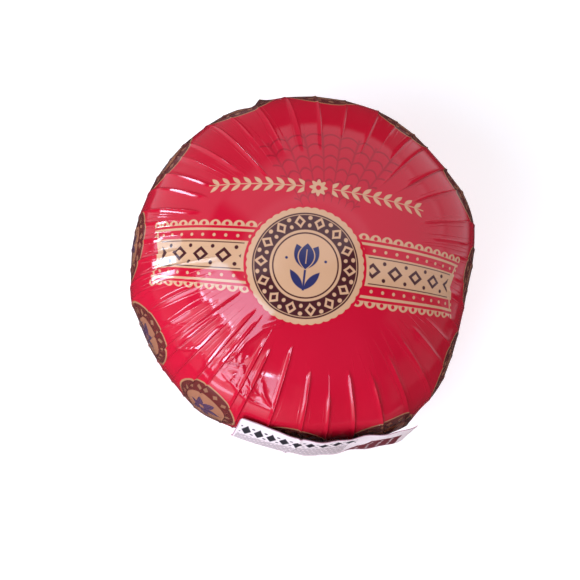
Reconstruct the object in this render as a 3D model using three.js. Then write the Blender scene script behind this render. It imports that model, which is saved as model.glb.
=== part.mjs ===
// A ball of cheese wrapped tight in glossy film, with a paper label on its side.
// Millimetres, +Z up. The origin is the middle of the flat spot that the ball rests on,
// the crown of the film is at the top, and the label faces -Y.
import * as THREE from "three";

// Ball
const ballWidth = 148; // across the film at the widest level
const ballHeight = 124; // from the resting spot to the crown
const roundness = 2.3; // 2 would be an ellipse, and more gives fuller shoulders
const footPress = 1.6; // how much of the round underside is pressed flat

// The cheese isn't quite round: one side is pressed flat, with a swelling on either side of it,
// and some more sides are full. Facing and reach are in degrees, facing from +X
const sideSwells = [
  { facing: -13, reach: 17, height: -3.6 },
  { facing: -46, reach: 11, height: 3.4 },
  { facing: -64, reach: 10.5, height: 5 },
  { facing: -84, reach: 14, height: 1.3 },
  { facing: 19, reach: 12, height: 2.3 },
  { facing: 62, reach: 16, height: 0.9 },
  { facing: -125, reach: 8, height: 1.6 },
  { facing: -169, reach: 5, height: 1.2 },
];

// The film is drawn down from the crown and gathered below, so it folds into pleats.
// For each pleat: its facing in degrees from +X, the height of its crest, and its start in
// degrees from the crown
const pleatRows = [
  [6.5, 0.4, 40], [14.5, 0.45, 34], [25.5, 0.5, 33], [34.7, 0.5, 35], [43, 0.55, 26], [50.3, 0.5, 35],
  [57.5, 0.3, 46], [65, 0.45, 31], [77, 0.45, 35], [87.5, 0.5, 29], [98.5, 0.4, 30], [108.5, 0.45, 30],
  [119, 0.4, 42], [127.5, 0.5, 22], [136, 0.5, 33], [142.3, 0.35, 46], [149, 0.55, 36], [156.3, 0.6, 38],
  [163, 0.6, 38], [169, 0.45, 50], [175, 0.5, 52], [181.5, 0.6, 40], [188.5, 0.65, 28], [193.5, 0.5, 46],
  [199.5, 0.7, 36], [206, 0.45, 44], [212.5, 0.85, 25], [216.8, 0.6, 35], [221, 0.7, 35], [226.5, 0.85, 25],
  [233, 0.6, 25], [241.7, 0.8, 31], [247.2, 0.8, 34], [256.6, 0.95, 30], [268, 0.9, 37], [275, 0.8, 46],
  [284, 0.9, 38], [293, 0.65, 42], [303.5, 0.4, 38], [313, 0.4, 35], [321, 0.4, 36], [328, 0.35, 40],
  [336.5, 0.3, 48], [344.5, 0.3, 46], [351, 0.3, 50], [358.5, 0.35, 44],
];
const pleatWidth = 2.6;
const pleatLean = 0.28; // share of the width by which a crest leans to one side
const leanFrom = 214; // crests lean away from this facing
const pleatSway = 3; // degrees by which a pleat drifts on its way down
const pleatGrowth = 20; // degrees over which a pleat rises to its full height
const pleatFade = { from: 138, to: 164 }; // degrees from the crown, above the foot
const waist = { at: 88, reach: 26, share: 0.6 }; // the film is taut here, so crests are lower
const panelSink = 0.18; // the taut film between two pleats lies this far in

// Label
const labelLength = 76;
const labelHeight = 44;
const labelThickness = 0.5;
const labelFacing = -85; // degrees from +X
const labelRise = 4.5; // its middle above the widest level
const labelGap = 0.35; // between the pleat crests and the stuck left end
const hangOut = 2; // how far the stuck end's lower edge stands off
const labelBend = 77.5; // radius that the loose part is bent to
const looseFrom = -32; // along from its middle, where it begins to come away
const looseAt = 5; // along from its middle, where it is quite loose
const flareFrom = 12; // along from its middle, where the right end begins to stand further out
const flareOut = 5.3;
const leanIn = 4; // how far the loose part's top edge leans towards the ball

// Mesh steps
const columnsPerPleat = 4;
const ringCount = 26;
const labelSteps = { along: 28, up: 10 };

const degree = Math.PI / 180;
const fullTurn = 2 * Math.PI;
const halfWidth = ballWidth / 2;
const halfHeight = (ballHeight + footPress) / 2;
const middleHeight = ballHeight - halfHeight;

// A repeatable number from 0 to 1 for each pleat.
function scatter(index) {
  const spread = Math.sin(index * 12.9898 + 156.466) * 43758.5453;
  return spread - Math.floor(spread);
}

function between(low, high, share) {
  return low + (high - low) * share;
}

function smoothRise(from, to, value) {
  return THREE.MathUtils.smoothstep(value, from, to);
}

function bell(offset, reach) {
  return Math.exp(-((offset / reach) ** 2));
}

// Degrees from a facing to another one, from -180 to 180.
function turnFrom(facing, other) {
  return THREE.MathUtils.euclideanModulo(facing - other + 180, 360) - 180;
}

// How far the cheese swells or is pressed in, at an angle round the ball.
function sideSwell(angle) {
  return sideSwells.reduce((total, swell) => {
    const offset = turnFrom(angle / degree, swell.facing);
    return total + swell.height * bell(offset, swell.reach);
  }, 0);
}

// A point of the smooth ball and its outward direction, both as radius and height.
function smoothBall(polar, angle) {
  const across = Math.sin(polar) ** (2 / roundness);
  const up = Math.sign(Math.cos(polar)) * Math.abs(Math.cos(polar)) ** (2 / roundness);
  const outward = new THREE.Vector2(
    across ** (roundness - 1) / halfWidth,
    (Math.sign(up) * Math.abs(up) ** (roundness - 1)) / halfHeight,
  ).normalize();
  const radius = halfWidth * across + sideSwell(angle) * Math.sin(polar) ** 2;
  return { radius, height: middleHeight + halfHeight * up, outward };
}

// Where a pleat runs, and how high it stands on the way down.
function makePleat([facing, height, start], index) {
  return {
    angle: facing * degree,
    sway: pleatSway * degree * (scatter(index) - 0.5),
    height,
    start: start * degree,
    lean: pleatLean * Math.sign(turnFrom(facing, leanFrom)),
  };
}

const pleats = pleatRows.map(makePleat);
const highestCrest = Math.max(...pleats.map((pleat) => pleat.height));

function pleatAngle(pleat, polar) {
  return pleat.angle + pleat.sway * Math.sin(polar * 1.5);
}

function pleatHeight(pleat, polar) {
  const rise = smoothRise(pleat.start, pleat.start + pleatGrowth * degree, polar);
  const taut = 1 - waist.share * bell(polar / degree - waist.at, waist.reach);
  const fade = 1 - smoothRise(pleatFade.from * degree, pleatFade.to * degree, polar);
  return pleat.height * rise * taut * fade;
}

// The angle and the stand-off of one column of the film: each pleat has a foot on either side
// of its crest, and then the middle of the panel that runs to the next pleat.
function filmColumn(column, polar) {
  const index = Math.floor(column / columnsPerPleat) % pleats.length;
  const pleat = pleats[index];
  const next = pleats[(index + 1) % pleats.length];
  const crest = pleatAngle(pleat, polar);
  const gap = THREE.MathUtils.euclideanModulo(pleatAngle(next, polar) - crest, fullTurn);
  const radius = Math.max(halfWidth * Math.sin(polar), 1);
  const foot = Math.min(pleatWidth / 2 / radius, gap / 4);
  const height = pleatHeight(pleat, polar);
  const columns = [
    { angle: crest - foot, stand: 0 },
    { angle: crest + 2 * foot * pleat.lean, stand: height },
    { angle: crest + foot, stand: 0 },
    { angle: crest + gap / 2, stand: (-panelSink * height) / highestCrest },
  ];
  return columns[column % columnsPerPleat];
}

// The wrapped ball: a lathe whose columns follow the pleats and whose rings follow the profile.
function makeBall() {
  const columnCount = pleats.length * columnsPerPleat;
  const polars = Array.from({ length: ringCount + 1 }, (_, ring) => Math.PI * (1 - ring / ringCount));
  const profile = polars.map((polar) => new THREE.Vector2(Math.sin(polar), -Math.cos(polar)));
  const lathe = new THREE.LatheGeometry(profile, columnCount);
  const places = lathe.getAttribute("position");
  for (let vertex = 0; vertex < places.count; vertex += 1) {
    const ring = vertex % polars.length;
    const column = Math.floor(vertex / polars.length) % columnCount;
    const onAxis = ring === 0 || ring === ringCount;
    const { angle, stand } = filmColumn(column, polars[ring]);
    const smooth = smoothBall(polars[ring], angle);
    const radius = onAxis ? 0 : smooth.radius + stand * smooth.outward.x;
    const height = Math.max(0, smooth.height + (onAxis ? 0 : stand * smooth.outward.y));
    places.setXYZ(vertex, radius * Math.cos(angle), radius * Math.sin(angle), height);
  }
  const film = new THREE.MeshStandardMaterial({ color: 0xc61330, roughness: 0.2, metalness: 0 });
  const ball = new THREE.Mesh(lathe, film);
  ball.name = "wrapped_ball";
  return ball;
}

// Radius of the smooth ball at a height.
function radiusAtHeight(height, angle) {
  const up = Math.min(Math.abs(height - middleHeight) / halfHeight, 1);
  const across = (1 - up ** roundness) ** (1 / roundness);
  return halfWidth * across + sideSwell(angle) * across ** 2;
}

// Radius of the label's back, along and up from its middle. The left end is stuck down over the
// crests of the pleats, and the rest has come away as one stiff curve.
function labelRadius(along, up, height, angle) {
  const loose = smoothRise(looseFrom, looseAt, along);
  const hang = hangOut * (0.5 - up / labelHeight) * (1 - loose);
  const stuck = radiusAtHeight(height, angle) + highestCrest + labelGap + hang;
  const flare = flareOut * smoothRise(flareFrom, labelLength / 2, along);
  const free = labelBend + flare - (leanIn * up) / labelHeight;
  return Math.max(stuck, between(stuck, free, loose));
}

// The label: a thin slab, bent round the ball.
function makeLabel() {
  const slab = new THREE.BoxGeometry(
    labelLength,
    labelThickness,
    labelHeight,
    labelSteps.along,
    1,
    labelSteps.up,
  );
  const places = slab.getAttribute("position");
  for (let vertex = 0; vertex < places.count; vertex += 1) {
    const along = places.getX(vertex);
    const up = places.getZ(vertex);
    const angle = labelFacing * degree + along / labelBend;
    const height = middleHeight + labelRise + up;
    const layer = labelThickness / 2 - places.getY(vertex);
    const radius = labelRadius(along, up, height, angle) + layer;
    places.setXYZ(vertex, radius * Math.cos(angle), radius * Math.sin(angle), height);
  }
  const paper = new THREE.MeshStandardMaterial({ color: 0xe8dfe3, roughness: 0.55, metalness: 0 });
  const label = new THREE.Mesh(slab, paper);
  label.name = "side_label";
  return label;
}

const cheese = new THREE.Group();
cheese.add(makeBall(), makeLabel());

export default cheese;
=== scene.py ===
# Ball of cheese in tight red printed film, with a paper label coming away from its side.
import math

import bpy
import numpy as np
from mathutils import Matrix, Quaternion, Vector, noise


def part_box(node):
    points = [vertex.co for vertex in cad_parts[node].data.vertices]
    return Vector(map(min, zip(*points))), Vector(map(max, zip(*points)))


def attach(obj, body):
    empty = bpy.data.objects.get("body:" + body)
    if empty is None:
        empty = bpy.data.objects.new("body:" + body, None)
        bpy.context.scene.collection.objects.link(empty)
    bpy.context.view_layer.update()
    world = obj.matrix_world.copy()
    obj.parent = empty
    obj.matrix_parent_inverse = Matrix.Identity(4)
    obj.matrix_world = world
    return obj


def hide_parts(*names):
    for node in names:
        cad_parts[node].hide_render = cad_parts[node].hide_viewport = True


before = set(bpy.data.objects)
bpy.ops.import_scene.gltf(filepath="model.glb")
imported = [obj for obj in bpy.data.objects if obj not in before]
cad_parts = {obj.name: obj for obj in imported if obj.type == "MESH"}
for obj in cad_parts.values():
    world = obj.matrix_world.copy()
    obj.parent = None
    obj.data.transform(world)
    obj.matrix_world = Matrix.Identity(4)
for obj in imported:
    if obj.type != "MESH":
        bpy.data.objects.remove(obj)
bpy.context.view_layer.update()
mm = 0.001  # every size below is in millimetres, and meshes are made in metres
degree = math.pi / 180
fullTurn = 2 * math.pi
print("frame loaded, nodes:", ", ".join(sorted(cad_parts)))


def scatter(index, feature):  # repeatable number from 0 to 1, the same spread as the solid's pleats
    spread = np.sin(np.asarray(index) * 12.9898 + feature * 78.233) * 43758.5453
    return spread - np.floor(spread)


def between(low, high, share):
    return low + (high - low) * share


def smoothRise(start, end, value):
    share = np.clip((value - start) / (end - start), 0, 1)
    return share * share * (3 - 2 * share)


def bell(offset, reach):
    return np.exp(-((offset / reach) ** 2))


def turnFrom(angle, facing):  # signed degrees between an angle in radians and a facing in degrees
    return (angle / degree - facing + 180) % 360 - 180


def newMesh(name, places, faces):
    mesh = bpy.data.meshes.new(name)
    mesh.from_pydata(places.tolist(), [], faces)
    mesh.polygons.foreach_set("use_smooth", [True] * len(mesh.polygons))
    mesh.update()
    piece = bpy.data.objects.new(name, mesh)
    bpy.context.scene.collection.objects.link(piece)
    return piece


def addMap(piece, name, corners):  # corners are in the order of the mesh's loops
    layer = piece.data.uv_layers.new(name=name, do_init=False)
    layer.uv.foreach_set("vector", np.ascontiguousarray(corners, np.float32).ravel())


# The wrapped ball: a superellipse of revolution with swellings, pleats, wrinkles and a gathered foot.
wrap = {
    "width": 148,
    "roundness": 2.3,
    "footPress": 1.6,
    "sideSwells": [  # facing and reach in degrees, then height
        (-13, 17, -3.6), (-46, 11, 3.4), (-64, 10.5, 5), (-84, 14, 1.3),
        (19, 12, 2.3), (62, 16, 0.9), (-125, 8, 1.6), (-169, 5, 1.2),
    ],
    "waveHeight": 0.16,
    "waveLength": 24,
    "corners": [  # loose film: facing, place down, reach round and down, and how far out or in
        (-56.5, 97, 4.5, 14, 2.2),
        (105.8, 82, 1.8, 7, 1.9),
        (110.2, 82, 2.6, 11, -2.9),
    ],
    "profileSteps": 3600,  # for measuring along the film
}
lowCorner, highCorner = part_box("wrapped_ball")
wrap["height"] = (highCorner.z - lowCorner.z) / mm
wrap["halfWidth"] = wrap["width"] / 2
wrap["halfHeight"] = (wrap["height"] + wrap["footPress"]) / 2
wrap["middle"] = wrap["height"] - wrap["halfHeight"]


def sideSwell(angle):
    swells = wrap["sideSwells"]
    return sum(height * bell(turnFrom(angle, facing), reach) for facing, reach, height in swells)


def signedPower(value, power):
    return np.sign(value) * np.abs(value) ** power


def roundRadius(polar):
    return wrap["halfWidth"] * np.sin(polar) ** (2 / wrap["roundness"])


def smoothBall(polar, angle):  # radius, height and outward direction of the ball without its pleats
    across = np.sin(polar) ** (2 / wrap["roundness"])
    up = signedPower(np.cos(polar), 2 / wrap["roundness"])
    outAcross = across ** (wrap["roundness"] - 1) / wrap["halfWidth"]
    outUp = signedPower(up, wrap["roundness"] - 1) / wrap["halfHeight"]
    length = np.hypot(outAcross, outUp)
    radius = roundRadius(polar) + sideSwell(angle) * np.sin(polar) ** 2
    return radius, wrap["middle"] + wrap["halfHeight"] * up, outAcross / length, outUp / length


def filmLength(polar):  # along the film from the crown
    fine = np.linspace(0, math.pi, wrap["profileSteps"] + 1)
    height = smoothBall(fine, 0 * fine)[1]
    steps = np.hypot(np.diff(roundRadius(fine)), np.diff(height))
    return np.interp(polar, fine, np.concatenate([[0], np.cumsum(steps)]))


# Pleats, and the mesh that follows them: its columns run down the panels between the pleats.
pleating = {
    "pleats": [  # facing in degrees, height of the crest, start in degrees from the crown
        (6.5, 0.4, 34), (14.5, 0.45, 30), (25.5, 0.5, 29), (34.7, 0.5, 29), (43, 0.55, 23),
        (50.3, 0.5, 31), (57.5, 0.3, 46), (65, 0.45, 27), (77, 0.45, 32), (87.5, 0.5, 26),
        (98.5, 0.4, 26), (108.5, 0.45, 28), (119, 0.4, 38), (127.5, 0.5, 20), (136, 0.5, 31),
        (142.3, 0.35, 43), (149, 0.55, 34), (156.3, 0.6, 36), (163, 0.6, 36), (169, 0.45, 50),
        (175, 0.5, 52), (181.5, 0.6, 40), (188.5, 0.65, 28), (193.5, 0.5, 46), (199.5, 0.7, 36),
        (206, 0.45, 44), (212.5, 0.85, 25), (216.8, 0.6, 35), (221, 0.7, 35), (226.5, 0.85, 25),
        (233, 0.6, 25), (241.7, 0.8, 31), (247.2, 0.8, 34), (256.6, 0.95, 30), (268, 0.9, 37),
        (275, 0.8, 46), (284, 0.9, 38), (293, 0.65, 42), (303.5, 0.4, 38), (313, 0.4, 35),
        (321, 0.4, 36), (328, 0.35, 40), (336.5, 0.3, 48), (344.5, 0.3, 46), (351, 0.3, 50),
        (358.5, 0.35, 44),
    ],
    "sway": 3,  # degrees by which a pleat drifts on its way down
    "swayRate": 1.5,
    "growth": 7,  # degrees over which a pleat rises to its full height
    "growthCurve": 0.7,
    "waist": (88, 26, 0.6),  # the film is taut here, so crests are lower: middle, reach and share
    "fade": (148, 170),  # degrees from the crown, above the foot
    "leanFrom": 214,  # pleats turn their gentle flank to this facing
    "gentleFlank": 1.1,
    "steepFlank": 0.5,
    "gentleGain": 3,  # where pleats are softer, it gains this many times what a steep flank does
    "widestFlank": 0.35,  # share of the panel
    "flankCurve": 1.35,
    "softer": [(325, 26, 1.6), (155, 14, 0.45), (225, 20, 0.3), (272, 14, 0.1)],  # facing, reach, gain
    "tuck": 0.4,  # how much a panel tips, so that it tucks under its neighbour
    "tipped": {247.2: 0.55, 241.7: 0.35, 233: -0.3, 188.5: 0.3, 181.5: -0.3},  # panels that tip more
    "rowBands": [  # degrees from the crown, from and to, then rows
        (0, 20, 8), (20, 24, 3), (24, 40, 24), (40, 62, 44), (62, 78, 16),
        (78, 90, 10), (90, 114, 12), (114, 160, 12), (160, 180, 8),
    ],
    "columns": 12,
    "fineColumns": 27,  # for the panels about the fine facing, where the film is crumpled
    "fineFacing": 225,
    "fineReach": 34,
    "crowding": 2.3,
    "fineCrowding": 1.5,
}


def makePleats():
    facing, height, start = np.array(pleating["pleats"]).T
    index = np.arange(len(facing))
    tuck = pleating["tuck"] * 2 * (scatter(index, 6) - 0.5)
    return {
        "angle": facing * degree,
        "height": height,
        "start": start * degree,
        "sway": pleating["sway"] * degree * (scatter(index, 2) - 0.5),  # the same draw as in the solid
        "lean": np.sign(turnFrom(facing * degree, pleating["leanFrom"])),
        "tuck": np.array([pleating["tipped"].get(*pair) for pair in zip(facing, tuck)]),
    }


def makeRows():  # the crown and the foot's middle are left out, as they are single points
    bands = [np.linspace(start, end, rows, endpoint=False) for start, end, rows in pleating["rowBands"]]
    return np.concatenate(bands)[1:, None] * degree


def makeColumns():  # each column's panel, its place across that panel, and the next column's place
    panels, places, after = [], [], []
    for index, angle in enumerate(pleats["angle"]):
        isFine = abs(turnFrom(angle, pleating["fineFacing"])) < pleating["fineReach"]
        count = pleating["fineColumns"] if isFine else pleating["columns"]
        crowding = pleating["fineCrowding"] if isFine else pleating["crowding"]
        even = np.arange(count + 1) / count
        near = 0.5 * (1 - np.abs(1 - 2 * even)) ** crowding
        crowded = np.where(even <= 0.5, near, 1 - near)  # columns crowd towards the pleats
        panels.append(np.full(count, index))
        places.append(crowded[:-1])
        after.append(crowded[1:])
    return np.concatenate(panels), np.concatenate(places), np.concatenate(after)


pleats = makePleats()
polars = makeRows()
arcs = filmLength(polars)
crests = pleats["angle"] + pleats["sway"] * np.sin(pleating["swayRate"] * polars)
gaps = (np.roll(crests, -1, axis=1) - crests) % fullTurn
grown = smoothRise(pleats["start"], pleats["start"] + pleating["growth"] * degree, polars)
panel, share, shareAfter = makeColumns()
nextPanel = (panel + 1) % len(pleats["angle"])


def anglesAt(share):
    return crests[:, panel] + share * gaps[:, panel]


def flank(away, width):  # cross-section of half a pleat, sharp at its crest
    return np.clip(1 - away / width, 0, 1) ** pleating["flankCurve"]


def pleatRelief(radius):
    fade = 1 - smoothRise(*(limit * degree for limit in pleating["fade"]), polars)
    width = gaps[:, panel] * radius
    gain = np.zeros(len(pleats["angle"]))
    for facing, reach, more in pleating["softer"]:
        gain += more * bell(turnFrom(pleats["angle"], facing), reach)
    gentle = pleating["gentleFlank"] + gain
    steep = pleating["steepFlank"] + gain / pleating["gentleGain"]
    rightFlank = np.where(pleats["lean"] > 0, steep, gentle)[panel]
    leftFlank = np.where(pleats["lean"] > 0, gentle, steep)[nextPanel]
    waistAt, waistReach, waistShare = pleating["waist"]
    taut = 1 - waistShare * bell(polars / degree - waistAt, waistReach)
    height = pleats["height"] * grown ** pleating["growthCurve"] * taut * fade
    widest = pleating["widestFlank"] * width
    ridge = np.maximum(
        height[:, panel] * flank(share * width, np.minimum(rightFlank, widest)),
        height[:, nextPanel] * flank((1 - share) * width, np.minimum(leftFlank, widest)),
    )
    spread = 0.5 * (grown[:, panel] + grown[:, nextPanel]) * taut * fade
    sink = -width * gaps[:, panel] / 8 * (1 - (2 * share - 1) ** 2)  # a taut panel lies on its chord
    tuck = pleats["tuck"][panel] * (share - 0.5)
    return ridge + (sink + tuck) * spread


def waveRelief(places):
    waves = [noise.noise(Vector(place) / wrap["waveLength"]) for place in places.reshape(-1, 3)]
    return wrap["waveHeight"] * np.array(waves).reshape(places.shape[:-1])


# Where the film has slack it is pushed down into a roll, with knots of crumpled facets along it.
slack = {
    "facing": 238,
    "knots": [  # place round from the facing and along the film, then the reach round and along
        (8.5, 67.5, 4.2, 3.4),
        (-1.1, 65, 4, 3),
        (-1.9, 55.2, 3.4, 3.6),
        (-11.5, 66, 3, 2.4),
    ],
    "leastKnot": 0.02,  # below this share of a knot the film is smooth
    "cell": (3.2, 4.2),  # between its creases, round and along
    "slice": 0.37,  # where the noise is cut
    "wander": (0.8, 0.6),  # how often a crease turns, and how far it strays
    "strayShifts": [(5, 1, 0), (2, 8, 1), (0, 4, 6)],  # through the noise, one a direction
    "creaseWidth": 0.2,
    "ridge": 0.36,
    "tip": 0.75,  # how far the smooth film between creases tips
    "tipRate": 0.7,
    "tipShift": (3, 7, 1),
    "rollRise": (49, 65),  # along the film
    "rollFall": (65, 73),
    "rollHeight": 0.7,
    "rollReach": 17,
    "folds": [  # height and width, then each bend's facing and place along the film
        (0.8, 1.9, [(246, 34.8), (237.5, 40.2), (234, 48.3), (234, 52.8), (232.5, 58.7), (229.5, 63.7)]),
        (0.65, 1.8, [(248.5, 61), (251.5, 67), (256, 73.2)]),
        (0.6, 1.6, [(242, 61.2), (247, 67.8), (250, 67.3)]),
        (0.7, 1.6, [(229.5, 63.7), (233.5, 60.3), (239, 57.5), (242, 63)]),
        (0.75, 1.7, [(221, 65.5), (220, 67.7), (217.5, 73.3), (214.5, 77.3)]),
        (0.65, 1.8, [(233.5, 64.8), (240, 67.2), (243, 70.1), (248, 72.9), (256, 73.5)]),
        (0.25, 1.6, [(203.5, 79.4), (206, 72), (209.5, 67.1), (211.5, 62.8)]),
    ],
    "foldTaper": (0.1, 0.9),  # of half a sine wave, from a fold's start to its end
    "printFacing": 228,
    "printReach": 24,
    "takenUp": 10,  # length of film lost in the crumples
    "takenAlong": (42, 76),
}


def knotRelief(angle, radius):  # meandering creases with smooth film between them
    sideways = turnFrom(angle, slack["facing"]) * degree * radius
    away = arcs + 0 * angle
    strength = np.zeros(angle.shape)
    for placeRound, placeAway, reachRound, reachAway in slack["knots"]:
        spot = bell(sideways - placeRound, reachRound) * bell(away - placeAway, reachAway)
        strength = np.maximum(strength, spot)
    cellRound, cellAway = slack["cell"]
    turns, stray = slack["wander"]
    relief = np.zeros(angle.shape)
    for spot in map(tuple, np.argwhere(strength > slack["leastKnot"])):
        place = Vector((sideways[spot] / cellRound, away[spot] / cellAway, slack["slice"]))
        strayed = [noise.noise(place * turns + Vector(shift)) for shift in slack["strayShifts"]]
        bent = place + Vector(strayed) * stray
        crease = bell(noise.noise(bent), slack["creaseWidth"])
        tip = noise.noise(place * slack["tipRate"] + Vector(slack["tipShift"]))
        relief[spot] = slack["ridge"] * crease + slack["tip"] * tip
    return relief * strength


def foldRelief(angle, radius):  # bent folds that run across the pleats, steeper on their far side
    along = arcs + 0 * angle
    relief = np.zeros(angle.shape)
    for height, width, bends in slack["folds"]:
        facings, places = np.array(bends).T
        sideways = turnFrom(angle, facings[0]) * degree * radius
        bendRadius = np.interp(places, arcs[:, 0], roundRadius(polars)[:, 0])
        offsets = (facings - facings[0]) * degree * bendRadius
        for first in range(len(bends) - 1):
            stepSide, stepAlong = np.diff(offsets)[first], np.diff(places)[first]
            fromSide, fromAlong = sideways - offsets[first], along - places[first]
            reach = stepSide**2 + stepAlong**2
            part = np.clip((fromSide * stepSide + fromAlong * stepAlong) / reach, 0, 1)
            away = np.hypot(fromSide - part * stepSide, fromAlong - part * stepAlong)
            isFar = fromSide * stepAlong > fromAlong * stepSide
            taper = np.sin(math.pi * between(*slack["foldTaper"], (first + part) / (len(bends) - 1)))
            relief = np.maximum(relief, height * taper * flank(away, np.where(isFar, width / 2, width)))
    return relief


def rollRelief(angle):
    rise = smoothRise(*slack["rollRise"], arcs) * (1 - smoothRise(*slack["rollFall"], arcs))
    return slack["rollHeight"] * rise * bell(turnFrom(angle, slack["facing"]), slack["rollReach"])


def cornerRelief(angle):
    relief = np.zeros(angle.shape)
    for facing, fromCrown, reachRound, reachDown, height in wrap["corners"]:
        down = bell(polars / degree - fromCrown, reachDown)
        relief += height * bell(turnFrom(angle, facing), reachRound) * down
    return relief


# The film gathered under the ball: folds pressed flat, and drawn in to a dimple.
gather = {
    "rise": 3,  # height over which the folds come free of the floor
    "groove": 0.5,
    "grooveFrom": (4, 14),  # from the middle
    "grooveCurve": 3,
    "dimpleWidth": 20,
    "dimpleDepth": 3,
    "dimpleCurve": 1.5,
}


def footRelief(radius, height):
    flat = np.maximum(height, 0)
    low = 1 - smoothRise(0, gather["rise"], flat)
    starFold = np.abs(2 * share - 1) ** gather["grooveCurve"]
    groove = gather["groove"] * low * smoothRise(*gather["grooveFrom"], radius) * (1 - starFold)
    inside = np.clip(1 - (2 * radius / gather["dimpleWidth"]) ** 2, 0, 1)
    return flat + groove + gather["dimpleDepth"] * inside ** gather["dimpleCurve"] * low


def makeFilm():
    angle = anglesAt(share)
    radius, height, outAcross, outUp = smoothBall(polars, angle)
    smooth = np.stack([radius * np.cos(angle), radius * np.sin(angle), height + 0 * angle], -1)
    relief = pleatRelief(radius) + waveRelief(smooth)
    relief += knotRelief(angle, radius) + foldRelief(angle, radius)
    relief += rollRelief(angle) + cornerRelief(angle)
    radius = radius + relief * outAcross
    height = footRelief(radius, height + relief * outUp)
    return np.stack([radius * np.cos(angle), radius * np.sin(angle), height], -1)


def ringFaces(rowCount, columnCount):
    rows, columns = np.meshgrid(np.arange(rowCount - 1), np.arange(columnCount), indexing="ij")
    after = (columns + 1) % columnCount
    quads = np.stack(
        [
            rows * columnCount + columns,
            (rows + 1) * columnCount + columns,
            (rows + 1) * columnCount + after,
            rows * columnCount + after,
        ],
        -1,
    )
    return quads.reshape(-1, 4).tolist()


def filmFaces(rowCount, columnCount):
    crown, foot = rowCount * columnCount, rowCount * columnCount + 1
    last = (rowCount - 1) * columnCount
    top = [(crown, column, (column + 1) % columnCount) for column in range(columnCount)]
    bottom = [(last + column, foot, last + (column + 1) % columnCount) for column in range(columnCount)]
    return ringFaces(rowCount, columnCount) + top + bottom


# Where each point of the ball lies on the flat printed sheet, in millimetres from the print's middle.
sheet = {
    "middle": (-5.5, -9.3),  # from the crown
    "turn": 6,  # degrees
    "bakeMiddles": (0.293, 0.707),  # of the two discs that the film is baked on
    "bakeRadius": 0.29,
}


def onSheet(across, up):
    across, up = across - sheet["middle"][0], up - sheet["middle"][1]
    cosine, sine = math.cos(sheet["turn"] * degree), math.sin(sheet["turn"] * degree)
    return np.stack([across * cosine - up * sine, across * sine + up * cosine], -1)


def sheetPlaces(share):  # the print is hidden in the pleats, so it opens towards each panel's middle
    visible = np.minimum(roundRadius(polars) / arcs, 1)
    half = (share - 0.5) * gaps[:, panel]
    opened = np.where(share <= 0.5, grown[:, panel], grown[:, nextPanel])
    angle = anglesAt(0.5) + half * (1 - (1 - visible) * opened)
    sideways = turnFrom(anglesAt(share), slack["printFacing"])
    taken = slack["takenUp"] * smoothRise(*slack["takenAlong"], arcs)
    length = arcs + taken * bell(sideways, slack["printReach"])
    return onSheet(length * np.cos(angle), length * np.sin(angle))


def foldPlaces(share):  # distance from the nearest pleat, and length of film from the crown
    nearest = np.minimum(share, 1 - share) * gaps[:, panel] * roundRadius(polars)
    return np.stack([nearest, arcs + 0 * nearest], -1)


def bakePlaces(share, middle, reach):
    way = np.stack([np.cos(anglesAt(share)), np.sin(anglesAt(share))], -1)
    return middle + np.clip(reach, 0, 1)[..., None] * sheet["bakeRadius"] * way


def faceCorners(left, right, crown, foot):  # one place a face corner, so that maps break at the pleats
    quads = np.stack([left[:-1], left[1:], right[1:], right[:-1]], 2).reshape(-1, 2)
    top = np.stack([crown + 0 * left[0], left[0], right[0]], 1).reshape(-1, 2)
    bottom = np.stack([left[-1], foot + 0 * left[-1], right[-1]], 1).reshape(-1, 2)
    return np.concatenate([quads, top, bottom])


def bakeCorners():  # two discs side by side: the upper half of the film and the lower half
    half, whole = filmLength(np.array([math.pi / 2, math.pi]))
    reaches = (arcs / half, (whole - arcs) / (whole - half))
    corners = []
    for middle, reach in zip(sheet["bakeMiddles"], reaches):
        left, right = bakePlaces(share, middle, reach), bakePlaces(shareAfter, middle, reach)
        corners.append(faceCorners(left, right, middle, middle))
    isUpper = np.repeat(polars[1:, 0] < math.pi / 2 + 1e-6, 4 * len(panel))
    isUpper = np.concatenate([isUpper, np.repeat([True, False], 3 * len(panel))])
    return np.where(isUpper[:, None], *corners)


filmPlaces = makeFilm()
crownAndFoot = np.array([[0, 0, wrap["height"]], [0, 0, gather["dimpleDepth"]]])
allPlaces = np.concatenate([filmPlaces.reshape(-1, 3), crownAndFoot]) * mm
film = newMesh("printed_film", allPlaces, filmFaces(*filmPlaces.shape[:2]))
addMap(film, "OFBake", bakeCorners())
crown = onSheet(0, 0)
addMap(film, "filmSheet", faceCorners(sheetPlaces(share), sheetPlaces(shareAfter), crown, crown))
addMap(film, "filmFold", faceCorners(foldPlaces(share), foldPlaces(shareAfter), 0, 0))
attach(film, "root")
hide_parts("wrapped_ball")
print("film made,", len(film.data.polygons), "faces")


# The label: stuck down at its left end, and loose with a flare at its right end.
label = {
    "length": 76,
    "height": 44,
    "thickness": 0.3,
    "facing": -85,
    "rise": 4.5,
    "overFilm": 1.3,  # above the smooth ball, over the pleats' crests
    "solidThickness": 0.5,  # the paper is thinner, with its face where the solid's is
    "hangOut": 2,
    "bend": 77.5,
    "looseFrom": -32,
    "looseAt": 5,
    "flareFrom": 12,
    "flareOut": 5.3,
    "leanIn": 4,
    "cornerRadius": 2.2,
    "steps": (104, 60),
    "creaseAt": -12,
    "creaseHeight": 0.7,
    "creaseWidth": 1.2,
    "creaseLean": 0.06,
    "creaseCurve": 1.5,
    "ripple": 0.3,
    "rippleLength": 13,
    "rippleLean": 0.12,
    "rippleCurve": 1.5,  # it grows towards the paper's edges
}


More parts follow.
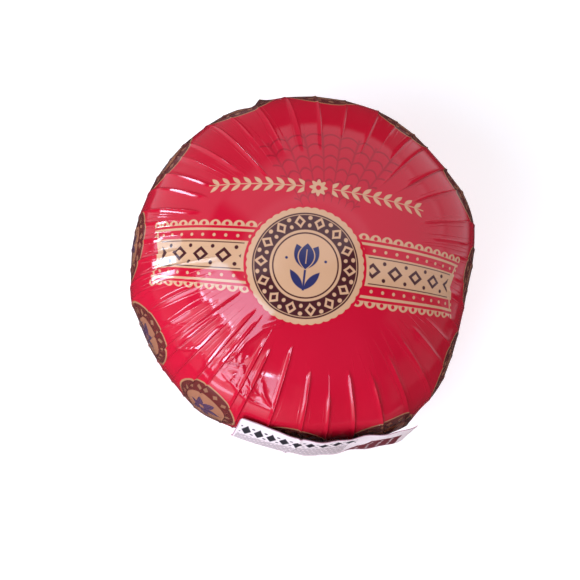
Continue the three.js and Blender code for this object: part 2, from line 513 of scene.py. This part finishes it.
def roundCorner(along, up):  # draws the points of each corner's square in to a quarter disc
    radius = label["cornerRadius"]
    overAlong = np.clip(np.abs(along) - (label["length"] / 2 - radius), 0, None)
    overUp = np.clip(np.abs(up) - (label["height"] / 2 - radius), 0, None)
    farthest = np.maximum(overAlong, overUp)
    shrink = np.where(farthest > 0, farthest / np.maximum(np.hypot(overAlong, overUp), 1e-9), 1)
    return (
        along - np.sign(along) * overAlong * (1 - shrink),
        up - np.sign(up) * overUp * (1 - shrink),
    )


def radiusAtHeight(height, angle):
    up = np.minimum(np.abs(height - wrap["middle"]) / wrap["halfHeight"], 1)
    across = (1 - up ** wrap["roundness"]) ** (1 / wrap["roundness"])
    return wrap["halfWidth"] * across + sideSwell(angle) * across**2


def labelPlaces(along, up):
    angle = label["facing"] * degree + along / label["bend"]
    height = wrap["middle"] + label["rise"] + up
    loose = smoothRise(label["looseFrom"], label["looseAt"], along)
    hang = label["hangOut"] * (0.5 - up / label["height"]) * (1 - loose)
    stuck = radiusAtHeight(height, angle) + label["overFilm"] + hang
    flare = label["flareOut"] * smoothRise(label["flareFrom"], label["length"] / 2, along)
    free = label["bend"] + flare - label["leanIn"] * up / label["height"]
    radius = np.maximum(stuck, between(stuck, free, loose)) + label["solidThickness"]
    ripple = np.sin(along / label["rippleLength"] * fullTurn + up * label["rippleLean"]) * loose
    radius += label["ripple"] * ripple * np.abs(2 * up / label["height"]) ** label["rippleCurve"]
    fromCrease = np.abs(along - (label["creaseAt"] + label["creaseLean"] * up))
    crease = np.clip(1 - fromCrease / label["creaseWidth"], 0, 1) ** label["creaseCurve"]
    radius += label["creaseHeight"] * crease
    return np.stack([radius * np.cos(angle), radius * np.sin(angle), height], -1)


def makeLabel():
    stepsAlong, stepsUp = label["steps"]
    along, up = np.meshgrid(
        np.linspace(-0.5, 0.5, stepsAlong + 1) * label["length"],
        np.linspace(-0.5, 0.5, stepsUp + 1) * label["height"],
        indexing="ij",
    )
    along, up = roundCorner(along, up)
    places = labelPlaces(along, up).reshape(-1, 3) * mm
    first, second = np.meshgrid(np.arange(stepsAlong), np.arange(stepsUp), indexing="ij")
    corner = first * (stepsUp + 1) + second
    quads = np.stack([corner, corner + stepsUp + 1, corner + stepsUp + 2, corner + 1], -1).reshape(-1, 4)
    piece = newMesh("paper_label", places, quads.tolist())
    flat = np.stack([along, up], -1).reshape(-1, 2)
    addMap(piece, "labelSheet", flat[quads].reshape(-1, 2))
    paper = piece.modifiers.new("paper", "SOLIDIFY")
    paper.thickness = label["thickness"] * mm
    paper.offset = -1
    return piece


paperLabel = makeLabel()
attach(paperLabel, "root")
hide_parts("side_label")
print("label made,", len(paperLabel.data.polygons), "faces")


# Node sums: a Value is a number somewhere in a node tree, so that print shapes read as plain sums.
class Value:
    def __init__(self, tree, socket):
        self.tree = tree
        self.socket = socket

    def __add__(self, other):
        return combine("ADD", self, other)

    def __sub__(self, other):
        return combine("SUBTRACT", self, other)

    def __rsub__(self, other):
        return combine("SUBTRACT", other, self)

    def __mul__(self, other):
        return combine("MULTIPLY", self, other)

    def __truediv__(self, other):
        return combine("DIVIDE", self, other)

    __radd__ = __add__
    __rmul__ = __mul__


def combine(operation, *values):
    tree = next(value.tree for value in values if isinstance(value, Value))
    node = tree.nodes.new("ShaderNodeMath")
    node.operation = operation
    for socket, value in zip(node.inputs, values):
        feed(tree, value, socket)
    return Value(tree, node.outputs[0])


def feed(tree, value, socket):
    if isinstance(value, Value):
        tree.links.new(value.socket, socket)
    else:
        socket.default_value = value


def size(value):
    return combine("ABSOLUTE", value)


def largest(first, *others):
    for other in others:
        first = combine("MAXIMUM", first, other)
    return first


def smallest(first, *others):
    for other in others:
        first = combine("MINIMUM", first, other)
    return first


def distance(x, y):
    return combine("SQRT", x * x + y * y)


def repeat(value, spacing):  # runs from minus to plus half the spacing, again and again
    return combine("WRAP", value, spacing / 2, -spacing / 2)


def turned(x, y, angle):  # the same place in axes turned by an angle in degrees
    cosine, sine = math.cos(angle * degree), math.sin(angle * degree)
    return x * cosine + y * sine, y * cosine - x * sine


def leaf(along, across, length, halfWidth):  # below 0 inside a leaf that starts at 0
    middle = along * (2 / length) - 1
    return size(across) - (1 - middle * middle) * halfWidth


def lozenge(x, y, halfLong, halfHigh):
    return (size(x) * (1 / halfLong) + size(y) * (1 / halfHigh) - 1) * min(halfLong, halfHigh)


def inked(edge, soft=0.14):  # 1 inside a shape, where its edge value is below 0
    node = edge.tree.nodes.new("ShaderNodeMapRange")
    node.inputs["From Min"].default_value = soft
    node.inputs["From Max"].default_value = -soft
    edge.tree.links.new(edge.socket, node.inputs["Value"])
    return Value(edge.tree, node.outputs["Result"])


class Paint:  # a colour that print shapes are laid on, one after another
    def __init__(self, tree, colour):
        self.tree = tree
        self.colour = colour

    def lay(self, mask, colour):
        node = self.tree.nodes.new("ShaderNodeMix")
        node.data_type = "RGBA"
        self.tree.links.new(mask.socket, node.inputs["Factor"])
        for socket, value in ((node.inputs[6], self.colour), (node.inputs[7], colour)):
            if isinstance(value, tuple):
                socket.default_value = value
            else:
                self.tree.links.new(value, socket)
        self.colour = node.outputs[2]


def sRgb(red, green, blue):  # 0 to 255 as seen on a screen, to the linear colour that nodes take
    def linear(level):
        level = level / 255
        return level / 12.92 if level <= 0.04045 else ((level + 0.055) / 1.055) ** 2.4

    return (linear(red), linear(green), linear(blue), 1)


def newFinish(name):
    material = bpy.data.materials.new(name)
    material.use_nodes = True
    tree = material.node_tree
    return material, tree, tree.nodes["Principled BSDF"]


def readMap(tree, name):
    node = tree.nodes.new("ShaderNodeUVMap")
    node.uv_map = name
    parts = tree.nodes.new("ShaderNodeSeparateXYZ")
    tree.links.new(node.outputs["UV"], parts.inputs[0])
    return Value(tree, parts.outputs["X"]), Value(tree, parts.outputs["Y"])


def objectPlace(tree):
    return tree.nodes.new("ShaderNodeTexCoord").outputs["Object"]


def noiseValue(tree, scale, detail, place=None):
    node = tree.nodes.new("ShaderNodeTexNoise")
    node.inputs["Scale"].default_value = scale
    node.inputs["Detail"].default_value = detail
    tree.links.new(objectPlace(tree) if place is None else place, node.inputs["Vector"])
    return Value(tree, node.outputs["Fac"])


def addBump(tree, shader, height, depth, strength=1):
    bump = tree.nodes.new("ShaderNodeBump")
    bump.inputs["Strength"].default_value = strength
    bump.inputs["Distance"].default_value = depth
    feed(tree, height, bump.inputs["Height"])
    tree.links.new(bump.outputs["Normal"], shader.inputs["Normal"])


# The film's print and gloss. Places are in millimetres on the flat sheet.
filmFinish = {
    "red": sRgb(194, 15, 41),
    "paleRed": sRgb(199, 18, 46),
    "deepRed": sRgb(104, 10, 26),
    "tan": sRgb(210, 161, 122),
    "brown": sRgb(72, 32, 34),
    "blue": sRgb(50, 50, 90),
    "cloud": (28, 3.0),  # scale and detail of the noise that clouds the red
    "cloudFrom": 0.5,
    "cloudSoft": 0.22,
    "roughness": (0.06, 0.12),
    "roughNoise": (70, 4.0),
    "ior": 1.56,
}


# A faint shell of scales, under the rest of the print.
shell = {
    "middle": (6, 8),
    "ribs": 9,  # degrees from one rib to the next
    "halfSpread": 36,
    "sideRadius": 40,  # where its sides are measured
    "reach": (20, 52),
    "scallop": 2.2,
    "arcs": 5.5,  # between its arcs
    "line": 0.45,
    "ribFrom": 0.9,  # share of the way from a rib's middle to its side
    "ribScale": 2,
    "fill": 0.05,
    "softSides": 0.3,
    "softLines": 0.25,
    "strength": 0.45,
}


def layShell(paint, x, y):
    x, y = x - shell["middle"][0], y - shell["middle"][1]
    angle = combine("ARCTAN2", x, y)
    step = shell["ribs"] * degree
    inner = repeat(angle, step) * (2 / step)  # from -1 to 1 across each rib
    low, high = shell["reach"]
    bulge = inner * inner * shell["scallop"]
    reach = distance(x, y) + bulge
    sides = size(angle) * shell["sideRadius"] - shell["halfSpread"] * degree * shell["sideRadius"]
    shape = largest(reach - high, low - reach, sides)
    arcs = size(repeat(reach, shell["arcs"])) - shell["line"]
    ribs = (shell["ribFrom"] - size(inner)) * shell["ribScale"]
    lines = inked(smallest(arcs, ribs), shell["softLines"])
    amount = inked(shape, shell["softSides"]) * (shell["fill"] + lines * (1 - shell["fill"]))
    paint.lay(amount * shell["strength"], filmFinish["deepRed"])


# Two leafy sprays with a star between them.
garland = {
    "middle": (2, 31.5),
    "arch": 1100,
    "halfLength": 44,
    "spacing": 4.4,
    "leaf": (4.7, 0.78),
    "leafTurn": 40,
    "stem": 0.2,
    "centreGap": 5.5,
    "starRadius": 3.0,
    "starPoints": 8,
    "starDepth": 0.6,
    "heart": 1.0,
}


def layGarland(paint, x, y):
    x, up = x - garland["middle"][0], y - garland["middle"][1] + x * x * (1 / garland["arch"])
    side = size(x)
    inner = repeat(side, garland["spacing"])
    shape = size(up) - garland["stem"]
    for step in (0, garland["spacing"]):  # a leaf reaches past the next one's start
        along, across = turned(inner + step, size(up), garland["leafTurn"])
        shape = smallest(shape, leaf(along, across, *garland["leaf"]))
    shape = largest(shape, side - garland["halfLength"], garland["centreGap"] - side)
    angle = combine("ARCTAN2", up, x)
    points = combine("COSINE", angle * garland["starPoints"]) * garland["starDepth"]
    star = distance(x, up) - garland["starRadius"] - points
    heart = distance(x, up) - garland["heart"]
    paint.lay(inked(smallest(shape, star)), filmFinish["tan"])
    paint.lay(inked(heart), filmFinish["red"])


# A ribbon with lozenges, beads and scalloped edges, open where the medallion is.
ribbon = {
    "middle": (2, 1.2),
    "halfLength": 71,
    "strip": 6.0,
    "lozengeSpacing": 9.8,
    "lozengeSize": (3.5, 3.1),
    "eye": (1.5, 1.3),
    "eyeEdge": 0.2,
    "dotAt": 3.3,
    "dotRadius": 0.8,
    "stripLine": (5.1, 0.2),
    "beadRow": 7.9,
    "beadSpacing": 4.9,
    "beadRadius": 0.65,
    "line": (10.2, 0.5),
    "scallopAt": 11.8,
    "scallopRadius": 2.4,
    "scallopHole": 0.8,
    "holeRise": 0.9,
    "clearOfMedallion": 24,
    "tailCut": 5,
    "tailHalf": 14,
    "endLine": (1.6, 0.5),
    "inset": (3.2, 1.2),  # of the dark print, from the ends and from the medallion
}


def layRibbon(paint, x, y):
    away = ribbon["clearOfMedallion"] - distance(x, y)
    x, y = x - ribbon["middle"][0], y - ribbon["middle"][1]
    side, rise = size(x), size(y)
    tail = ribbon["tailCut"] - rise * (ribbon["tailCut"] / ribbon["tailHalf"])
    end = side - ribbon["halfLength"] + tail
    border = size(rise - ribbon["line"][0]) - ribbon["line"][1]
    step = repeat(x, ribbon["beadSpacing"])
    scallop = distance(step, rise - ribbon["scallopAt"]) - ribbon["scallopRadius"]
    scallop = largest(scallop, ribbon["scallopAt"] - rise)
    hole = ribbon["scallopHole"] - distance(step, rise - ribbon["scallopAt"] - ribbon["holeRise"])
    beads = distance(step, rise - ribbon["beadRow"]) - ribbon["beadRadius"]
    endLine = largest(size(end + ribbon["endLine"][0]) - ribbon["endLine"][1], rise - ribbon["line"][0])
    shape = smallest(rise - ribbon["strip"], border, largest(scallop, hole), beads, endLine)
    paint.lay(inked(largest(shape, end, away)), filmFinish["tan"])
    link = repeat(side - ribbon["lozengeSpacing"] / 2, ribbon["lozengeSpacing"])
    eye = ribbon["eyeEdge"] - lozenge(link, y, *ribbon["eye"])
    chain = largest(lozenge(link, y, *ribbon["lozengeSize"]), eye)
    gapDot = repeat(side, ribbon["lozengeSpacing"])
    dots = distance(gapDot, rise - ribbon["dotAt"]) - ribbon["dotRadius"]
    edgeLine = size(rise - ribbon["stripLine"][0]) - ribbon["stripLine"][1]
    shape = smallest(chain, dots, edgeLine)
    fromEnd, fromMedallion = ribbon["inset"]
    paint.lay(inked(largest(shape, end + fromEnd, away + fromMedallion)), filmFinish["brown"])


# The medallion in the middle, with a ring of lozenges and beads.
medallion = {
    "radius": 22.6,
    "scallops": 44,
    "scallopDepth": 0.45,
    "ring": (13.9, 20.7),
    "lozenges": 14,
    "lozengeAt": 17.2,
    "lozengeSize": (2.2, 2.6),
    "eye": (0.9, 1.1),
    "eyeEdge": 0.2,
    "beadAt": 1.5,  # from the lozenges' circle
    "beadRadius": 0.78,
    "rimLine": (0.75, 0.14),
    "innerLine": (12.6, 0.3),
}


def layMedallion(paint, x, y):
    reach = distance(x, y)
    angle = combine("ARCTAN2", y, x)
    wave = size(combine("SINE", angle * (medallion["scallops"] / 2))) * medallion["scallopDepth"]
    paint.lay(inked(reach - medallion["radius"] - wave), filmFinish["tan"])
    low, high = medallion["ring"]
    paint.lay(inked(size(reach - (low + high) / 2) - (high - low) / 2), filmFinish["brown"])
    step = fullTurn / medallion["lozenges"]
    inner = repeat(angle, step) * medallion["lozengeAt"]
    ring = reach - medallion["lozengeAt"]
    shape = lozenge(inner, ring, *medallion["lozengeSize"])
    shape = largest(shape, medallion["eyeEdge"] - lozenge(inner, ring, *medallion["eye"]))
    half = repeat(angle - step / 2, step) * medallion["lozengeAt"]
    beads = distance(half, size(ring) - medallion["beadAt"]) - medallion["beadRadius"]
    rimAt, rimHalf = medallion["rimLine"]
    rim = size(reach - high + rimAt) - rimHalf
    paint.lay(inked(smallest(shape, beads, rim)), filmFinish["tan"])
    lineAt, lineHalf = medallion["innerLine"]
    paint.lay(inked(size(reach - lineAt) - lineHalf), filmFinish["brown"])


# A tulip in the medallion.
tulip = {
    "base": -1.6,
    "petal": (10.2, 3.0),
    "petalEdge": 0.4,
    "vein": (0.16, 5, 2.6),  # half its width, its middle and half its length
    "sidePetal": (10.4, 2.5),
    "sideTurn": 66,
    "stemFoot": -9.6,
    "stemHalf": (0.42, 4.2),
    "blade": (9.4, 1.5),
    "bladeTurn": 52,
    "dot": (7.6, 2.2),
    "dotRadius": 0.55,
}


def layTulip(paint, x, y):
    side = size(x)
    up = y - tulip["base"]
    along, across = turned(side, up, tulip["sideTurn"])
    flower = leaf(along, across, *tulip["sidePetal"])
    stemMiddle = (tulip["base"] + tulip["stemFoot"]) / 2
    halfWidth, halfLength = tulip["stemHalf"]
    stem = largest(side - halfWidth, size(y - stemMiddle) - halfLength)
    along, across = turned(side, y - tulip["stemFoot"], tulip["bladeTurn"])
    blade = leaf(along, across, *tulip["blade"])
    paint.lay(inked(smallest(flower, stem, blade)), filmFinish["blue"])
    petal = leaf(up, x, *tulip["petal"])
    paint.lay(inked(petal - tulip["petalEdge"]), filmFinish["tan"])
    halfWidth, middle, halfLength = tulip["vein"]
    vein = halfWidth - largest(side, size(up - middle) - halfLength)
    paint.lay(inked(largest(petal, vein)), filmFinish["blue"])
    dots = distance(side - tulip["dot"][0], y - tulip["dot"][1]) - tulip["dotRadius"]
    paint.lay(inked(dots), filmFinish["blue"])


# Flower medallions in a ring, where the sheet is drawn down round the ball's rim.
rimRing = {
    "count": 12,
    "middle": (4.5, 9.8),
    "radius": 98,
    "nearer": (2.5, 7),  # to the right and above
    "firstAt": 30.7,
    "outer": 19.8,
    "ring": (12.2, 18.9),
    "beads": 18,
    "beadAt": 15.5,
    "beadSize": (1.4, 1.8),
    "petals": 6,
    "petal": (8.8, 2.1),
    "petalFrom": 0.6,
    "eye": 1.3,
    "border": sRgb(176, 122, 86),
    "brown": sRgb(104, 40, 36),
    "disc": sRgb(164, 104, 76),
    "bead": sRgb(150, 98, 72),
    "flower": sRgb(88, 56, 76),
}


def layRimRing(paint, x, y):
    x, y = x - rimRing["middle"][0], y - rimRing["middle"][1]
    reach = distance(x, y)
    step = fullTurn / rimRing["count"]
    angle = repeat(combine("ARCTAN2", y, x) - rimRing["firstAt"] * degree, step)
    across = reach * combine("SINE", angle)
    nearer = (x * rimRing["nearer"][0] + y * rimRing["nearer"][1]) / largest(reach, 1.0)
    away = reach * combine("COSINE", angle) - rimRing["radius"] + nearer
    spot = distance(across, away)
    paint.lay(inked(spot - rimRing["outer"]), rimRing["border"])
    low, high = rimRing["ring"]
    paint.lay(inked(spot - high), rimRing["brown"])
    paint.lay(inked(spot - low), rimRing["disc"])
    turn = combine("ARCTAN2", away, across)
    bead = repeat(turn, fullTurn / rimRing["beads"]) * rimRing["beadAt"]
    beads = lozenge(bead, spot - rimRing["beadAt"], *rimRing["beadSize"])
    paint.lay(inked(beads), rimRing["bead"])
    petalTurn = repeat(turn, fullTurn / rimRing["petals"])
    petals = leaf(spot - rimRing["petalFrom"], spot * combine("SINE", petalTurn), *rimRing["petal"])
    paint.lay(inked(largest(petals, rimRing["eye"] - spot)), rimRing["flower"])


# Pale specks of dust on the film.
dust = {
    "colour": (0.8, 0.74, 0.74, 1),
    "scale": 95,
    "radius": (0.012, 0.03),  # the least, and what a speck's own draw adds
    "soft": 0.006,
    "keptFrom": (0.72, 0.02),  # draw from which a speck is kept, and how softly
    "strength": 0.8,
}


def layDust(tree, paint):
    specks = tree.nodes.new("ShaderNodeTexVoronoi")
    specks.inputs["Scale"].default_value = dust["scale"]
    tree.links.new(objectPlace(tree), specks.inputs["Vector"])
    parts = tree.nodes.new("ShaderNodeSeparateColor")
    tree.links.new(specks.outputs["Color"], parts.inputs[0])
    pick = Value(tree, parts.outputs["Red"])
    least, more = dust["radius"]
    grain = Value(tree, specks.outputs["Distance"]) - (least + pick * more)
    keptFrom, keptSoft = dust["keptFrom"]
    amount = inked(grain, dust["soft"]) * inked(keptFrom - pick, keptSoft)
    paint.lay(amount * dust["strength"], dust["colour"])


# The film's fine relief: grain, thin creases beside the pleats, and ripples drawn down.
surface = {
    "grain": 0.012,  # heights
    "crease": 0.08,
    "ripple": 0.018,
    "grainNoise": (160, 3.0),  # scale and detail
    "driftNoise": (38, 1.0),
    "gapNoise": (24, 1.0),
    "rippleNoise": (24, 1.0),
    "creaseAway": (0.9, 2.2),  # from its pleat: the least, and how far it drifts
    "creaseHalf": 0.1,
    "creaseSoft": 0.16,
    "creaseFrom": (44, 6),  # length from the crown, and half the way over which it sets in
    "creaseGap": (0.47, 0.05),  # noise level below which a crease breaks off, and how softly
    "rippleFrom": (46, 14),
}


def fineRelief(tree):
    nearest, length = readMap(tree, "filmFold")
    drift = noiseValue(tree, *surface["driftNoise"])
    least, more = surface["creaseAway"]
    crease = inked(size(nearest - least - drift * more) - surface["creaseHalf"], surface["creaseSoft"])
    start, soft = surface["creaseFrom"]
    gapLevel, gapSoft = surface["creaseGap"]
    gap = inked(gapLevel - noiseValue(tree, *surface["gapNoise"]), gapSoft)
    crease = crease * inked(start - length, soft) * gap
    around = tree.nodes.new("ShaderNodeVectorMath")
    around.operation = "MULTIPLY"
    around.inputs[1].default_value = (1, 1, 0)
    tree.links.new(objectPlace(tree), around.inputs[0])
    way = tree.nodes.new("ShaderNodeVectorMath")
    way.operation = "NORMALIZE"
    tree.links.new(around.outputs[0], way.inputs[0])
    start, soft = surface["rippleFrom"]
    ripple = noiseValue(tree, *surface["rippleNoise"], way.outputs[0]) * inked(start - length, soft)
    grain = noiseValue(tree, *surface["grainNoise"])
    return grain * surface["grain"] + crease * surface["crease"] + ripple * surface["ripple"]


def makeFilmFinish():
    material, tree, shader = newFinish("printed_red_film")
    cloud = noiseValue(tree, *filmFinish["cloud"])
    paint = Paint(tree, filmFinish["red"])
    paint.lay(inked(filmFinish["cloudFrom"] - cloud, filmFinish["cloudSoft"]), filmFinish["paleRed"])
    x, y = readMap(tree, "filmSheet")
    layShell(paint, x, y)
    layGarland(paint, x, y)
    layRibbon(paint, x, y)
    layMedallion(paint, x, y)
    layTulip(paint, x, y)
    layRimRing(paint, x, y)
    layDust(tree, paint)
    tree.links.new(paint.colour, shader.inputs["Base Color"])
    low, high = filmFinish["roughness"]
    rough = noiseValue(tree, *filmFinish["roughNoise"])
    feed(tree, low + rough * (high - low), shader.inputs["Roughness"])
    shader.inputs["IOR"].default_value = filmFinish["ior"]
    addBump(tree, shader, fineRelief(tree), mm)
    return material


film.data.materials.append(makeFilmFinish())
print("film printed")


# The label's paper and print: a row of tall lozenges, fine grey rules and a red-brown corner block, with
# painted shade as a thin darker pink band round the paper's rim.
labelFinish = {
    "roughness": 0.55,
    "rowAt": 12.5,
    "rowSpacing": 5.6,
    "row": (-36.4, 14),
    "lozenge": (2.2, 5.2),
    "dotAt": 3.4,  # from the row's middle
    "dotRadius": 0.75,
    "rules": (-37, 11, -19, 5.8),  # left, right, foot and top
    "ruleSpacing": 1.9,
    "ruleHalf": 0.45,
    "breakWave": (0.55, 2.3),  # along a rule, and from one rule to the next
    "breakHalf": 0.2,
    "block": (18, 33, -20, 8),
    "blockLean": 0.3,
    "markSpacing": 4.2,
    "mark": (0.7, 0.9),
    "markInset": 1.6,
    "soft": 0.1,
    "white": sRgb(231, 206, 202),
    "grey": sRgb(120, 86, 90),
    "dark": sRgb(36, 24, 30),
    "redBrown": sRgb(116, 26, 34),
    # painted shade: the darker pink of the thin band round the paper's rim
    "edge": sRgb(188, 140, 148),
    "shadedRimWidth": 0.45,
    "grain": 0.2,
    "grainStrength": 0.12,
    "grainNoise": (900, 4.0),
}


def makeLabelFinish():
    material, tree, shader = newFinish("label_paper")
    finish = labelFinish
    paint = Paint(tree, finish["white"])
    x, y = readMap(tree, "labelSheet")
    row = y - finish["rowAt"]
    step = repeat(x, finish["rowSpacing"])
    shape = lozenge(step, row, *finish["lozenge"])
    gap = repeat(x - finish["rowSpacing"] / 2, finish["rowSpacing"])
    dots = distance(gap, size(row) - finish["dotAt"]) - finish["dotRadius"]
    shape = largest(smallest(shape, dots), finish["row"][0] - x, x - finish["row"][1])
    paint.lay(inked(shape, finish["soft"]), finish["dark"])
    line = combine("FLOOR", y * (1 / finish["ruleSpacing"]) + 0.5)
    rules = size(repeat(y, finish["ruleSpacing"])) - finish["ruleHalf"]
    perLength, perRule = finish["breakWave"]
    breaks = finish["breakHalf"] - size(combine("SINE", x * perLength + line * perRule))
    left, right, foot, top = finish["rules"]
    rules = largest(rules, breaks, y - top, foot - y, left - x, x - right)
    paint.lay(inked(rules, finish["soft"]), finish["grey"])
    left, right, foot, top = finish["block"]
    block = largest(left - x + y * finish["blockLean"], x - right, foot - y, y - top)
    paint.lay(inked(block, finish["soft"]), finish["redBrown"])
    marks = lozenge(repeat(x, finish["markSpacing"]), repeat(y, finish["markSpacing"]), *finish["mark"])
    paint.lay(inked(largest(marks, block + finish["markInset"]), finish["soft"]), finish["white"])
    # painted shade round the paper's rim, laid as a thin darker pink band
    edge = smallest(label["length"] / 2 - size(x), label["height"] / 2 - size(y)) - finish["shadedRimWidth"]
    paint.lay(inked(edge, finish["soft"]), finish["edge"])
    tree.links.new(paint.colour, shader.inputs["Base Color"])
    shader.inputs["Roughness"].default_value = finish["roughness"]
    grain = noiseValue(tree, *finish["grainNoise"])
    addBump(tree, shader, grain, finish["grain"] * mm, finish["grainStrength"])
    return material


paperLabel.data.materials.append(makeLabelFinish())
print("label printed")


# Floor, and a backdrop far round it that only the camera sees. In metres.
floor = {
    "halfSize": 5.0,
    "colour": (0.93, 0.93, 0.88, 1),
    "roughness": 0.6,
    "glow": 0.34,  # lit from below, like a light table
    "glowColour": (1, 1, 1, 1),
}
backdrop = {"radius": 4.8, "bend": 1.8, "height": 5.0, "columns": 64, "bendRows": 10}


def makeFloorFinish():
    material, _, shader = newFinish("pale_floor")
    shader.inputs["Base Color"].default_value = floor["colour"]
    shader.inputs["Roughness"].default_value = floor["roughness"]
    shader.inputs["Emission Color"].default_value = floor["glowColour"]
    shader.inputs["Emission Strength"].default_value = floor["glow"]
    return material


def makeFloor(finish):
    half = floor["halfSize"]
    corners = np.array([(-half, -half, 0), (half, -half, 0), (half, half, 0), (-half, half, 0)], float)
    piece = newMesh("floor", corners, [(0, 1, 2, 3)])
    piece.data.materials.append(finish)
    piece.visible_glossy = False  # the film's rim mirrors the dim room and not the bright floor
    return piece


def makeBackdrop(finish):
    angle = np.arange(backdrop["columns"]) * fullTurn / backdrop["columns"]
    bend = np.linspace(0, math.pi / 2, backdrop["bendRows"])[:, None]
    radius = backdrop["radius"] - backdrop["bend"] * (1 - np.sin(bend))
    radius = np.append(radius, [[backdrop["radius"]]], 0)
    height = np.append(backdrop["bend"] * (1 - np.cos(bend)), [[backdrop["height"]]], 0)
    places = np.stack([radius * np.cos(angle), radius * np.sin(angle), height + 0 * angle], -1)
    piece = newMesh("backdrop", places.reshape(-1, 3), ringFaces(*places.shape[:2]))
    piece.data.materials.append(finish)
    piece.visible_glossy = False
    piece.visible_diffuse = False
    piece.visible_shadow = False
    return piece


floorFinish = makeFloorFinish()
makeFloor(floorFinish)
makeBackdrop(floorFinish)

# Lamps: a window to the lower left with its bright sill and a door beside it, a glare with a bright
# core low on the left, a spot in front, and soft fills that the film doesn't mirror. In metres.
lamps = {
    "window": {"facing": 207, "rise": 49, "turn": 25, "away": 1.15, "size": (0.84, 0.5), "radiance": 4.8},
    "sill": {"facing": 209, "rise": 36, "turn": 25, "away": 1.1, "size": (0.6, 0.03), "radiance": 20},
    "door": {"facing": 236, "rise": 5, "away": 1.15, "size": (0.66, 0.86), "radiance": 4.3},
    "glare": {"facing": 172, "rise": -2, "away": 1.15, "size": (0.3, 0.7), "radiance": 2},
    "core": {"facing": 173, "rise": -4, "away": 1.12, "size": (0.18, 0.6), "radiance": 13},
    "spot": {"facing": 252.3, "rise": 24.5, "away": 1.1, "size": (0.1, 0.05), "radiance": 22},
    "backFill": {"facing": 90, "rise": 38, "away": 1.15, "size": (1.0, 0.8), "radiance": 1.5},
    "frontFill": {"facing": 280, "rise": 40, "away": 1.15, "size": (1.0, 0.8), "radiance": 1.2},
}
dayColour = (0.69, 0.9, 1.18)
fillColour = (0.98, 0.9, 0.98)


def placeAround(centre, facing, rise, away):
    facing, rise = facing * degree, rise * degree
    flat = math.cos(rise)
    way = Vector((flat * math.cos(facing), flat * math.sin(facing), math.sin(rise)))
    return centre + way * away, way


def makeLamp(name, settings, centre):
    isFill = name.endswith("Fill")
    lamp = bpy.data.lights.new(name, "AREA")
    lamp.shape = "RECTANGLE"
    lamp.size, lamp.size_y = settings["size"]
    lamp.color = fillColour if isFill else dayColour
    lamp.energy = settings["radiance"] * math.pi * lamp.size * lamp.size_y
    piece = bpy.data.objects.new(name, lamp)
    piece.location, way = placeAround(centre, settings["facing"], settings["rise"], settings["away"])
    turn = Quaternion((0, 0, 1), settings.get("turn", 0) * degree)
    piece.rotation_euler = (way.to_track_quat("Z", "Y") @ turn).to_euler()
    piece.visible_camera = False
    piece.visible_glossy = not isFill
    bpy.context.scene.collection.objects.link(piece)


# Room: a dark space with pale walls, which show in the film as a soft haze. Places are in degrees.
room = {
    "colour": (0.9, 0.9, 1.0, 1),
    "dim": 0.04,
    "walls": [  # facing, half its width, low and high ends, level, and half the width of its soft edge
        (47, 49, 3, 62, 0.78, 2.5),
        (26, 27, -38, 3, 0.68, 6),
        (345, 15, -22, 45, 0.2, 2.5),
        (321, 11, -16, 12, 0.14, 2.5),
        (118, 22, 36, 62, 0.75, 4),
        (147, 16, -45, 35, 0.6, 2.5),
        (190, 27, -24, 14, 0.3, 2.5),
        (212, 9, -6, 28, 1.4, 2.5),
        (227, 12, 14, 44, 3.3, 5),
        (243, 14, -25, 0, 1.2, 6),
        (255, 8, -35, 15, 0.45, 5),
        (110, 80, 60, 82, 0.9, 2.5),
        (113, 16, -50, 36, 0.15, 2.5),
    ],
}


def makeRoom():
    world = bpy.data.worlds.new("room")
    world.use_nodes = True
    tree = world.node_tree
    place = tree.nodes.new("ShaderNodeTexCoord")
    parts = tree.nodes.new("ShaderNodeSeparateXYZ")
    tree.links.new(place.outputs["Generated"], parts.inputs[0])
    x, y, z = (Value(tree, parts.outputs[axis]) for axis in "XYZ")
    facing = combine("ARCTAN2", y, x) * (1 / degree)
    rise = combine("ARCSINE", z) * (1 / degree)
    level = room["dim"]
    for wallFacing, half, low, high, wallLevel, soft in room["walls"]:
        sideways = size(repeat(facing - wallFacing, 360.0)) - half
        upright = size(rise - (low + high) / 2) - (high - low) / 2
        level = inked(largest(sideways, upright), soft) * wallLevel + level
    background = tree.nodes["Background"]
    background.inputs["Color"].default_value = room["colour"]
    feed(tree, level, background.inputs["Strength"])
    bpy.context.scene.world = world


ballMiddle = Vector((0, 0, wrap["middle"] * mm))
for name, settings in lamps.items():
    makeLamp(name, settings, ballMiddle)
makeRoom()
bpy.context.scene.view_settings.view_transform = "Standard"
print("floor, lamps and room set")

# Camera: from almost straight above, with +Y up in the picture.
camera = {
    "way": (-0.1, -0.174, 0.98),
    "away": 0.56,
    "focal": 1292.5,  # pixels
    "picture": 580,
    "ballAt": (303.3, 269.8),  # pixels, where the ball's middle shows
    "sensor": 36,
    "nearest": 0.01,
}


def makeCamera():
    lens = bpy.data.cameras.new("camera")
    lens.sensor_width = camera["sensor"]
    lens.lens = camera["focal"] / camera["picture"] * camera["sensor"]
    lens.clip_start = camera["nearest"]
    piece = bpy.data.objects.new("camera", lens)
    way = Vector(camera["way"]).normalized()
    stand = ballMiddle + way * camera["away"]
    across = Vector((0, 1, 0)).cross(way).normalized()
    up = way.cross(across)
    perPixel = camera["away"] / camera["focal"]
    right = camera["ballAt"][0] - camera["picture"] / 2
    above = camera["picture"] / 2 - camera["ballAt"][1]
    aim = ballMiddle - across * right * perPixel - up * above * perPixel
    back = (stand - aim).normalized()
    across = Vector((0, 1, 0)).cross(back).normalized()
    turn = Matrix((across, back.cross(across), back)).transposed()
    piece.matrix_world = Matrix.Translation(stand) @ turn.to_4x4()
    bpy.context.scene.collection.objects.link(piece)
    bpy.context.scene.camera = piece


makeCamera()
print("camera set")
